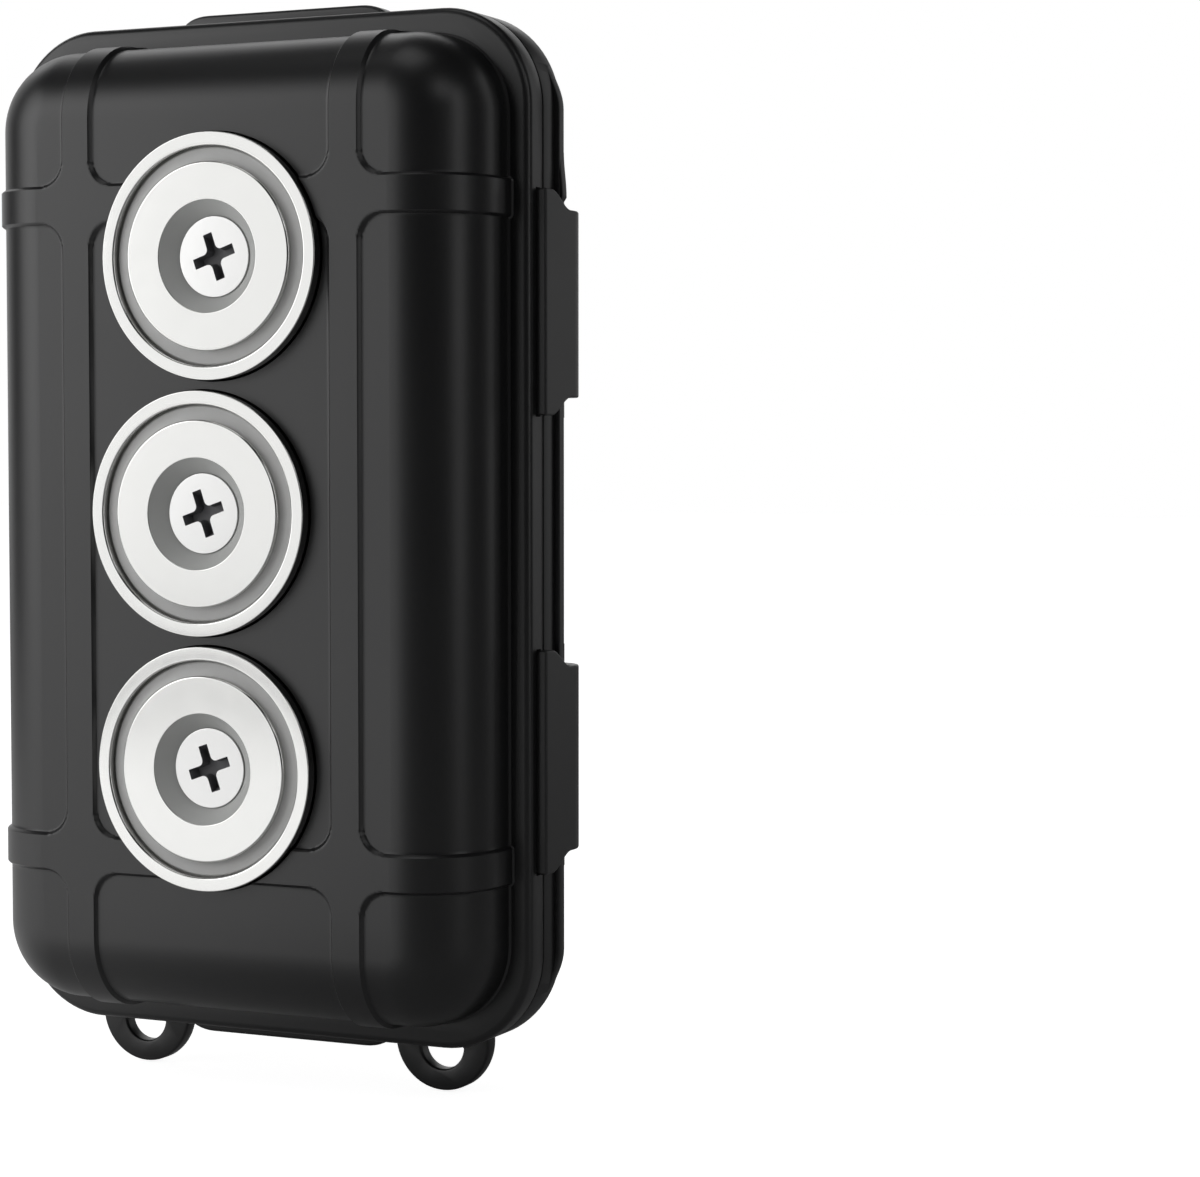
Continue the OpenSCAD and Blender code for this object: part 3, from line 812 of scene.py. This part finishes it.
def add_guard():
    """Low ramp on the band above the upper latch, so that nothing catches its end."""
    start = pivots["upper"].z + LATCH_LEN / 2 - 1.4
    edge = RIM_WID / 2 + BAND_OUT
    outline = [(edge - PAST, start), (edge - 0.02, start)]
    for k in range(9):
        rise = GUARD_H * (1 + math.cos(math.pi * k / 8)) / 2
        outline.append((edge - 0.02 + rise, start + 0.6 + GUARD_LEN * k / 8))
    outline.append((edge - PAST, start + 0.6 + GUARD_LEN))
    return soften(add_plate("guard", outline, "Y", BAND_Y + 0.25, LID_RIM_END - RIM_EDGE), 0.15)


# %% Rim of the lid
def add_lid_rim():
    """The rim plate with all that stands on it, and the groove for the gasket."""
    rim = add_plate("rim", rim_outline(0), "Y", LID_JOINT, LID_RIM_END)
    round_edges(rim, RIM_EDGE, at_level(1, LID_RIM_END))
    round_edges(rim, 0.15, at_level(1, LID_JOINT), steps=2)
    groove = add_plate("groove", rim_outline(GROOVE_IN), "Y", LID_JOINT - PAST,
                       LID_JOINT + GROOVE_DEPTH)
    island = add_plate("island", rim_outline(GROOVE_IN + 2), "Y", LID_JOINT - 2 * PAST,
                       LID_JOINT + GROOVE_DEPTH + PAST)
    combine(groove, island, how="DIFFERENCE")
    combine(rim, groove, how="DIFFERENCE")
    parts = [add_band(1), add_band(-1), add_pad(1), add_pad(-1), add_loop(LOOP_X), add_loop(-LOOP_X)]
    parts += [add_ears(side) for side in LATCHES] + [add_guard()]
    for z in hinge_places:
        parts.append(add_knuckle(z - HINGE_MID / 2, z + HINGE_MID / 2, LID_JOINT, hinge.y + KNUCKLE_R))
    return combine(rim, *parts)


# %% Lid with its hollow
def add_lid():
    """The whole lid: tray, rim and hollow."""
    lid = add_strapped_tray(
        "lid_shell_moulded", LID_LEN, LID_WID, LID_CORNER, LID_ROUND, LID_LEAN,
        LID_FRONT, LID_RIM_END - 0.5, LID_RIM_END,
    )
    combine(lid, add_lid_rim())
    hollow = add_tray(
        "hollow", LID_LEN - 2 * WALL, LID_WID - 2 * WALL, LID_CORNER - WALL,
        LID_ROUND - WALL, LID_LEAN, LID_FRONT - WALL, LID_JOINT - PAST,
    )
    combine(lid, hollow, how="DIFFERENCE")
    return shade(lid)


lid = finish_piece(add_lid(), black_abs, "lid", "black_abs", "lid_shell")

# %% [markdown]
# ## Latches
# Each latch is a short moulded lever. Its barrel turns on a pin behind the lid's rim, its face
# comes forward over the rim, and a thin lip hooks behind the flange. The section is drawn once
# and extruded along the box, then cut to the outline that is wide at the lip and narrow at the
# barrel, with a curved shoulder between. All edges are rounded for the thumb.

# %% Latches
HOOK_Y = 17.3
HOOK_T = 0.8
LATCH_STRAIGHT = 1.7
LATCH_DRAW = 5.5


def latch_section(pivot):
    """Section across a latch: X and depth, from the lip round the face and the barrel."""
    inner = RIM_WID / 2 + 0.3
    over_band = inner + BAND_OUT
    barrel_top = pivot.y + PIVOT_R
    return round_corners([
        (RIM_WID / 2 - 0.7, HOOK_Y, 0), (RIM_WID / 2 + 1.4, HOOK_Y, 0.35),
        (pivot.x + 5.1, barrel_top, 4.3), (pivot.x - PIVOT_R, barrel_top, 1.85),
        (pivot.x - PIVOT_R, pivot.y - PIVOT_R, 1.85), (over_band, LID_RIM_END + 0.3, 0),
        (over_band, BAND_Y - 0.3, 0), (inner, BAND_Y - 1, 0),
        (inner, HOOK_Y + HOOK_T, 0), (RIM_WID / 2 - 0.7, HOOK_Y + HOOK_T, 0),
    ])


def latch_shoulder(middle_z):
    """Outline of a latch seen from its side of the box: depth and height."""
    upper = [(HOOK_Y - PAST, LATCH_LEN / 2)]
    for k in range(13):
        drawn = (LATCH_LEN - LATCH_NECK) / 2 * (1 - math.cos(math.pi * k / 12)) / 2
        upper.append((HOOK_Y + LATCH_STRAIGHT + LATCH_DRAW * k / 12, LATCH_LEN / 2 - drawn))
    upper.append((pivots["upper"].y + 2 * PIVOT_R, LATCH_NECK / 2))
    outline = upper + [(y, -z) for y, z in reversed(upper)]
    return [(y, z + middle_z) for y, z in outline]


def add_latch(side):
    """One latch, drilled for its pin."""
    pivot = pivots[side]
    low, high = pivot.z - LATCH_LEN / 2, pivot.z + LATCH_LEN / 2
    latch = add_plate(f"latch_{side}_moulded", latch_section(pivot), "Z", low, high)
    edge = RIM_WID / 2
    cut = add_plate("shoulders", latch_shoulder(pivot.z), "X", edge - 8, edge + 4)
    combine(latch, cut, how="INTERSECT")
    apply_modifier(latch, "WELD", merge_threshold=0.04 * MM)
    soften(latch, 0.28, steps=3, clamp=False)
    bore = add_rod("bore", "Z", (pivot.x, pivot.y), PIN_R + 0.05, low, high, sides=40)
    combine(latch, bore, how="DIFFERENCE")
    return shade_flat_faces(latch)


for side in LATCHES:
    finish_piece(add_latch(side), black_nylon, f"{side}_latch", "black_nylon", f"latch_{side}")

# %% [markdown]
# ## Magnets
# Each magnet is a ring pressed into a turned steel cup, with grey epoxy cast between them. All
# of it is round, so each piece is a section spun about the screw's axis. The sections have small
# rounded edges, because a bright metal shows its edges by what they reflect.

# %% Helper: turned pieces
def add_turned(name, section, centre, steps=96):
    """Spin a closed section of (radius, depth) points round an axis that lies along Y."""
    bpy.ops.object.select_all(action="DESELECT")
    bpy.ops.mesh.primitive_circle_add(vertices=len(section), fill_type="NOTHING")
    turned = bpy.context.object
    for vertex, (radius, depth) in zip(turned.data.vertices, section):
        vertex.co = Vector((centre.x + radius, depth, centre.z)) * MM
    settle(turned, name)
    bpy.ops.object.mode_set(mode="EDIT")
    bpy.ops.mesh.select_all(action="SELECT")
    bpy.ops.mesh.spin(
        steps=steps, angle=2 * math.pi, center=Vector((centre.x, 0, centre.z)) * MM, axis=(0, 1, 0),
    )
    bpy.ops.mesh.select_all(action="SELECT")
    bpy.ops.mesh.remove_doubles(threshold=0.001 * MM)
    bpy.ops.mesh.delete_loose()
    bpy.ops.mesh.select_all(action="SELECT")
    bpy.ops.mesh.normals_make_consistent(inside=False)
    bpy.ops.object.mode_set(mode="OBJECT")
    return turned


# %% Cups, ring magnets and resin
CUP_WALL = 1.8
FLOOR_Y = 3.4
SINK_R = 7.4
RING_R = 12.3
RESIN_DOWN = 0.9
EDGE = 0.15
WIDE_EDGE = 0.3


def cup_section():
    """Wall, floor and the lower part of the countersink."""
    inner = CUP_R - CUP_WALL
    return round_corners([
        (inner, 0, WIDE_EDGE), (CUP_R, 0, EDGE), (CUP_R, CUP_T, 0.3), (SCREW_HOLE_R, CUP_T, 0.1),
        (SCREW_HOLE_R, SINK_R - SCREW_HOLE_R, 0.1), (SINK_R - FLOOR_Y, FLOOR_Y, 0),
        (inner, FLOOR_Y, 0.1),
    ], steps=4)


def ring_section():
    """The ring magnet, with the upper part of the countersink."""
    return round_corners([
        (SINK_R, 0, EDGE), (RING_R, 0, WIDE_EDGE), (RING_R, FLOOR_Y, 0),
        (SINK_R - FLOOR_Y, FLOOR_Y, 0),
    ], steps=4)


def resin_section():
    """Resin that has shrunk a little from the cup's wall, with a hollow surface."""
    inner = CUP_R - CUP_WALL
    middle = (RING_R + inner) / 2
    return [
        (RING_R, RESIN_DOWN - 0.25), (RING_R + 0.4, RESIN_DOWN - 0.08), (middle, RESIN_DOWN),
        (inner - 0.35, RESIN_DOWN), (inner - 0.2, RESIN_DOWN + 0.1), (inner - 0.15, RESIN_DOWN + 0.5),
        (inner, RESIN_DOWN + 0.6), (inner, FLOOR_Y), (RING_R, FLOOR_Y),
    ]


for row, place in zip(ROWS, magnet_places):
    cup = shade_flat_faces(add_turned(f"magnet_cup_{row}_turned", cup_section(), place, steps=128))
    finish_piece(cup, nickel_cup, "base", "nickel_steel", f"magnet_cup_{row}")
    ring = shade_flat_faces(add_turned(f"magnet_ring_{row}_ground", ring_section(), place, steps=128))
    finish_piece(ring, nickel_ring, "base", "nickel_magnet", f"magnet_ring_{row}")
    ring.data.materials.append(turned_cone)
    for face in ring.data.polygons:
        across, depth = Vector(face.center.xz) / MM - Vector(place.xz), face.center.y / MM
        face.material_index = int(across.length < SINK_R and 0.1 < depth < FLOOR_Y)
    resin = shade(add_turned(f"resin_ring_{row}_cast", resin_section(), place))
    finish_piece(resin, grey_resin, "base", "grey_resin", f"resin_ring_{row}")

# %% [markdown]
# ## Screws
# The screws are cold-headed with a cross recess: four arms with square ends and round inner
# corners, narrower at the bottom. Its faces get a darker, duller metal: painted shade for the
# shadow inside the recess. It is cut out of the spun head, turned as in the photograph.

# %% Screws
HEAD_Y = 1.85
HEAD_R = 5.45
SHANK_R = 2.5
SCREW_LEN = 12
CROSS_SPAN = 7.1
CROSS_W = 1.55
CROSS_DEPTH = 1.5
CROSS_ROOT_R = 0.8
CROSS_TURN = math.radians(19)

# Darker, duller metal for the recess faces: painted shade standing in for the shadow inside the
# recess.
recess_painted_shade = new_material(
    "recess_painted_shade_steel", {"Base Color": linear("#6e6e70"), "Metallic": 0.2, "Roughness": 0.6},
)[0]


def screw_section():
    """Half the section of the screw: head, cone, shank and tip."""
    under = HEAD_Y + HEAD_R - SHANK_R
    end = HEAD_Y + SCREW_LEN
    return round_corners([
        (0, HEAD_Y, 0), (HEAD_R, HEAD_Y, 0.12), (SHANK_R, under, 0.1), (SHANK_R, end - 0.6, 0.1),
        (SHANK_R - 0.6, end, 0.1), (0, end, 0),
    ], steps=3)


def cross_outline(centre):
    """Outline of the recess: four arms, turned round the screw's axis."""
    half, reach = CROSS_W / 2, CROSS_SPAN / 2
    points = []
    for k in range(4):
        angle = CROSS_TURN + math.pi / 2 * k
        for u, v, radius in ((reach, -half, 0.1), (reach, half, 0.1), (half, half, CROSS_ROOT_R)):
            x = centre.x + u * math.cos(angle) - v * math.sin(angle)
            z = centre.z + u * math.sin(angle) + v * math.cos(angle)
            points.append((x, z, radius))
    return round_corners(points, steps=5)


def add_screw(row, centre):
    """One screw with its recess cut."""
    screw = add_turned(f"screw_{row}_headed", screw_section(), centre, steps=96)
    bottom = HEAD_Y + CROSS_DEPTH
    recess = add_plate("recess", cross_outline(centre), "Y", HEAD_Y - PAST, bottom)
    pick_edges(recess, at_level(1, bottom))
    bpy.ops.transform.resize(
        value=(0.72, 1, 0.72), center_override=Vector((centre.x, bottom, centre.z)) * MM,
    )
    bpy.ops.object.mode_set(mode="OBJECT")
    for piece in (screw, recess):
        piece.data.materials.append(nickel_screw)
        piece.data.materials.append(recess_painted_shade)
    # The recess faces take the darker metal, a painted shade for the recess's own shadow.
    for face in recess.data.polygons:
        face.material_index = 1
    return shade_flat_faces(combine(screw, recess, how="DIFFERENCE"))


for row, place in zip(ROWS, magnet_places):
    screw = add_screw(row, place)
    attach(screw, "base")
    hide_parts(f"screw_{row}")
    print(screw.name, "has", len(screw.data.polygons), "faces")

# %% [markdown]
# ## Pieces kept from the engineering model
# The gasket, the pins, the washers and the nuts already have their true shape, so they stay and
# only get the finish of what they are made of.

# %% Finishes of the kept pieces
kept = {
    "gasket": silicone, "hinge_pin": wire, "latch_pin": wire,
    "seal_washer": rubber, "steel_washer": zinc, "nut": zinc,
}
for node, piece in frame["nodes"].items():
    for start, material in kept.items():
        if node.startswith(start):
            piece.data.materials.clear()
            piece.data.materials.append(material)
            print(node, "is", material.name)

# %% [markdown]
# ## Studio
# Black plastic shows what it reflects, so the light is built for its reflections. A large soft
# box stands front left, where the flat back of the box mirrors it to the camera, and makes the
# nickel bright. A dimmer one stands at the left for the rounding. The right side stays dark, with
# one narrow strip, so that the long wall turns nearly black. The page behind is white for the
# camera only, and the room itself is dim.

# %% Floor
WHITE = linear("#ffffff")


def seen_by(tree, *rays):
    """1 for rays of the given kinds, else 0."""
    path = add_node(tree, "ShaderNodeLightPath")
    seen = path.outputs[f"Is {rays[0]} Ray"]
    for ray in rays[1:]:
        seen = add_node(
            tree, "ShaderNodeMath", {"operation": "MAXIMUM"},
            {0: seen, 1: path.outputs[f"Is {ray} Ray"]},
        ).outputs[0]
    return seen


def glow(tree, seen, measure, start, end, low, high):
    """What some rays see of a glow that goes from low to high as a measure grows."""
    fade = add_node(
        tree, "ShaderNodeMapRange",
        {"From Min": start, "From Max": end, "To Min": low, "To Max": high}, {"Value": measure},
    )
    part = add_node(
        tree, "ShaderNodeMath", {"operation": "MULTIPLY"}, {0: seen, 1: fade.outputs[0]},
    )
    return part.outputs[0]


def add_floor(level):
    """Plain pale floor under the object: it keeps the shadow and runs out into the white page."""
    bpy.ops.object.select_all(action="DESELECT")
    bpy.ops.mesh.primitive_plane_add(size=6, location=(0, 0, level))
    floor = settle(bpy.context.object, "studio_floor")
    material = bpy.data.materials.new("pale_studio_floor")
    material.use_nodes = True
    tree = material.node_tree
    shader = tree.nodes["Principled BSDF"]
    shader.inputs["Base Color"].default_value = linear("#d0d0d0")
    shader.inputs["Roughness"].default_value = 0.9
    shader.inputs["Emission Color"].default_value = WHITE
    place = add_node(tree, "ShaderNodeTexCoord").outputs["Object"]
    away = add_node(tree, "ShaderNodeVectorMath", {"operation": "LENGTH"}, {0: place})
    away = away.outputs["Value"]
    page = glow(tree, seen_by(tree, "Camera", "Transmission"), away, 0.1, 0.6, 0.9, 1.0)
    split = add_node(tree, "ShaderNodeSeparateXYZ", None, {0: place})
    # What glossy rays see of the floor is 0 within 6 cm of the object and rises to 0.9 by 12 cm:
    # painted shade where the object's contact shadow falls, as seen in reflections.
    mirror = glow(tree, seen_by(tree, "Glossy"), away, 0.06, 0.12, 0.0, 0.9)
    mirror = glow(tree, mirror, split.outputs["X"], -0.06, 0.02, 1.0, 0.0)
    mirror = glow(tree, mirror, split.outputs["Y"], -0.05, 0.05, 1.0, 0.5)
    mirror = glow(tree, mirror, away, 0.45, 0.7, 1.0, 0.0)
    both = add_node(tree, "ShaderNodeMath", {"operation": "MAXIMUM"}, {0: page, 1: mirror})
    tree.links.new(both.outputs[0], shader.inputs["Emission Strength"])
    floor.data.materials.append(material)
    floor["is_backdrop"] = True
    return floor


floor = add_floor(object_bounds()[0][2] - 0.0002)
print("floor at", round(floor.data.vertices[0].co.z / MM, 2), "mm")


# %% Soft boxes
def add_softbox(name, direction, distance, size, brightness):
    """A square soft box that shines at the object; brightness is what a mirror would show."""
    data = bpy.data.lights.new(name, "AREA")
    data.shape = "RECTANGLE"
    data.size, data.size_y = size
    data.energy = brightness * math.pi * size[0] * size[1]
    softbox = bpy.data.objects.new(name, data)
    softbox.location = Vector(direction).normalized() * distance
    softbox.rotation_euler = (-softbox.location).to_track_quat("-Z", "Y").to_euler()
    softbox.visible_camera = False
    bpy.context.scene.collection.objects.link(softbox)
    print(name, round(data.energy, 2), "W")
    return softbox


add_softbox("front_left_softbox", (-0.54, -0.845, 0.02), 0.8, (0.61, 1.0), 1.15)
add_softbox("left_softbox", (-0.82, -0.57, 0.35), 0.6, (0.35, 0.5), 1.8)
add_softbox("left_back_softbox", (-0.93, 0.37, 0.3), 0.8, (0.4, 0.8), 0.55)
add_softbox("right_strip", (0.96, -0.2, 0.1), 0.8, (0.2, 0.9), 1.3)
add_softbox("right_back_softbox", (0.6, 0.8, 0.15), 0.8, (0.4, 0.9), 0.5)
add_softbox("upper_right_softbox", (0.75, -0.5, 0.65), 0.8, (0.25, 0.25), 1.2)
add_softbox("top_back_softbox", (-0.45, 0.6, 0.65), 0.8, (0.7, 0.3), 1.0)
add_softbox("top_softbox", (-0.1, -0.2, 1), 0.9, (0.5, 0.4), 1.0)


# %% Page behind and room light
PAGE_WAY = Vector((-math.sin(CAMERA_YAW), math.cos(CAMERA_YAW), 0))


def add_page():
    """A page that is white for the camera and behind the object, over a dim room."""
    world = bpy.data.worlds.new("studio_page")
    bpy.context.scene.world = world
    world.use_nodes = True
    tree = world.node_tree
    room = tree.nodes["Background"]
    room.inputs["Color"].default_value = linear("#b0b0b4")
    room.inputs["Strength"].default_value = 0.06
    page = add_node(tree, "ShaderNodeBackground", {"Color": WHITE, "Strength": 1.0})
    place = add_node(tree, "ShaderNodeTexCoord").outputs["Object"]
    behind = add_node(
        tree, "ShaderNodeVectorMath", {"operation": "DOT_PRODUCT", 1: PAGE_WAY}, {0: place},
    )
    mirror = glow(tree, seen_by(tree, "Glossy"), behind.outputs["Value"], 0.75, 0.95, 0.0, 1.0)
    seen = add_node(
        tree, "ShaderNodeMath", {"operation": "MAXIMUM"},
        {0: seen_by(tree, "Camera", "Transmission"), 1: mirror},
    )
    mix = add_node(tree, "ShaderNodeMixShader", None, {"Fac": seen.outputs[0]})
    tree.links.new(room.outputs[0], mix.inputs[1])
    tree.links.new(page.outputs[0], mix.inputs[2])
    tree.links.new(mix.outputs[0], tree.nodes["World Output"].inputs["Surface"])


add_page()
bpy.context.scene.view_settings.view_transform = "Standard"
print("world", bpy.context.scene.world.name)
